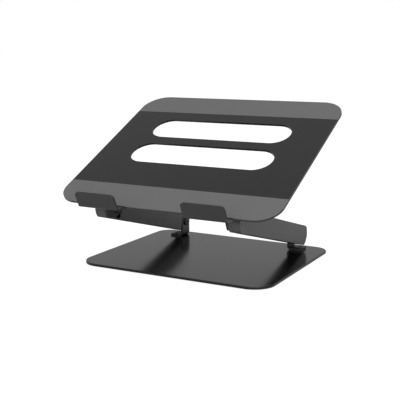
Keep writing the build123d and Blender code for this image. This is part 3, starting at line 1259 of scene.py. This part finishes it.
@dataclass
class Studio:
    """Floor, light and camera.

    Attributes:
        azimuth: the camera's turn round the stand from straight ahead, in degrees.
        pitch: how far the camera looks down, in degrees.
        roll: the camera's lean, in degrees.
        distance: from the camera to its aim.
        aim: the point looked at, from the middle of the stand's box.
        lens: focal length, in millimetres.
        sensor: width of the sensor, in millimetres.
        clip: nearest and farthest distance that the camera sees.
        floor_size: side of the floor.
        floor_seen: the floor's tone as the camera sees it.
        floor_bounce: the floor's tone for the light that it throws back.
        floor_glow: share of the floor's white that needs no light.
        floor_roughness: the floor's roughness.
        floor_specular: the floor's specular level.
        sky_low: world brightness at the horizon, as the stand sees it.
        sky_high: world brightness overhead, as the stand sees it.
        sky_top: height on the unit sphere where the sky is as it is overhead.
        lamps: the large soft lamps.
    """

    azimuth: float = 28.113
    pitch: float = 10.537
    roll: float = 0.09
    distance: float = 0.9062
    aim: tuple[float, float, float] = (0.00139, -0.00277, -0.01666)
    lens: float = 73.32
    sensor: float = 36.0
    clip: tuple[float, float] = (0.01, 200.0)
    floor_size: float = 60.0
    floor_seen: Colour = (0.35, 0.35, 0.35)
    floor_bounce: Colour = (0.80, 0.80, 0.80)
    floor_glow: float = 0.86
    floor_roughness: float = 0.9
    floor_specular: float = 0.1
    sky_low: float = 0.54
    sky_high: float = 0.35
    sky_top: float = 0.9
    lamps: tuple[Lamp, ...] = (
        Lamp("key", (1.5, -1.9, 1.3), 1.6, 24.0),
        Lamp("fill", (-0.6, -1.9, 1.1), 1.6, 9.0),
        Lamp("top", (0.3, -0.3, 2.2), 1.4, 18.0),
    )

    def build(self) -> None:
        """Make the floor, the light and the camera."""
        self.floor()
        self.world()
        for lamp in self.lamps:
            lamp.hang()
        self.camera()

    def floor(self) -> None:
        """Make the plain pale floor."""
        mesh = bpy.data.meshes.new("floor")
        half = self.floor_size / 2
        corners = [(-half, -half, 0.0), (half, -half, 0.0), (half, half, 0.0), (-half, half, 0.0)]
        mesh.from_pydata(corners, [], [(0, 1, 2, 3)])
        floor = new_piece("floor", mesh)
        dress(floor, self.floor_finish())

    def floor_finish(self) -> bpy.types.Material:
        """Make a paper-white sweep that keeps a faint contact shadow and throws little light up.

        Returns:
            The floor's material.
        """
        material = bpy.data.materials.new("pale_floor")
        material.use_nodes = True
        graph = Graph(material.node_tree)
        shader = material.node_tree.nodes["Principled BSDF"]
        shader.inputs["Roughness"].default_value = self.floor_roughness
        shader.inputs["Specular IOR Level"].default_value = self.floor_specular
        shader.inputs["Emission Color"].default_value = WHITE
        seen = graph.add("ShaderNodeLightPath").outputs["Is Camera Ray"]
        tone = graph.blend(seen, rgba(self.floor_bounce), rgba(self.floor_seen))
        graph.tree.links.new(tone, shader.inputs["Base Color"])
        glow = graph.maths("MULTIPLY", seen, self.floor_glow)
        graph.tree.links.new(glow, shader.inputs["Emission Strength"])
        return material

    def world(self) -> None:
        """Make a white backdrop that lights the stand as a soft grey room."""
        scene = bpy.context.scene
        scene.view_settings.view_transform = "Standard"
        world = bpy.data.worlds.new("soft_room")
        scene.world = world
        world.use_nodes = True
        graph = Graph(world.node_tree)
        world.node_tree.nodes.clear()
        direction = graph.add("ShaderNodeTexCoord").outputs["Generated"]
        height = graph.add("ShaderNodeSeparateXYZ", {0: direction}).outputs["Z"]
        span = {1: 0.0, 2: self.sky_top, 3: self.sky_low, 4: self.sky_high}
        level = graph.add("ShaderNodeMapRange", {0: height, **span})
        room = graph.add("ShaderNodeBackground", {"Color": WHITE, "Strength": level.outputs[0]})
        backdrop = graph.add("ShaderNodeBackground", {"Color": WHITE, "Strength": 1.0})
        seen = graph.add("ShaderNodeLightPath").outputs["Is Camera Ray"]
        mixed = graph.add("ShaderNodeMixShader", {0: seen, 1: room.outputs[0], 2: backdrop.outputs[0]})
        graph.add("ShaderNodeOutputWorld", {0: mixed.outputs[0]})

    def camera(self) -> None:
        """Set the camera up at its angle."""
        data = bpy.data.cameras.new("camera")
        data.sensor_width = self.sensor
        data.lens = self.lens
        data.clip_start, data.clip_end = self.clip
        camera = bpy.data.objects.new("camera", data)
        bpy.context.scene.collection.objects.link(camera)
        turn, down = radians(self.azimuth), radians(self.pitch)
        back = Vector((sin(turn) * cos(down), -cos(turn) * cos(down), sin(down)))
        low, high = CAD_BOX
        target = (low + high) / 2 + Vector(self.aim)
        facing = (-back).to_track_quat("-Z", "Y").to_matrix().to_4x4()
        lean = Matrix.Rotation(radians(self.roll), 4, "Z")
        camera.matrix_world = Matrix.Translation(target + back * self.distance) @ facing @ lean
        bpy.context.scene.camera = camera


def main() -> None:
    """Build the stand's looks and the studio round it."""
    logging.basicConfig(level=logging.INFO, format="%(name)s: %(message)s")
    finishes = Finishes()
    BaseAssembly().build(finishes)
    ArmAssembly().build(finishes)
    TrayAssembly().build(finishes)
    Studio().build()


if __name__ == "__main__":
    main()
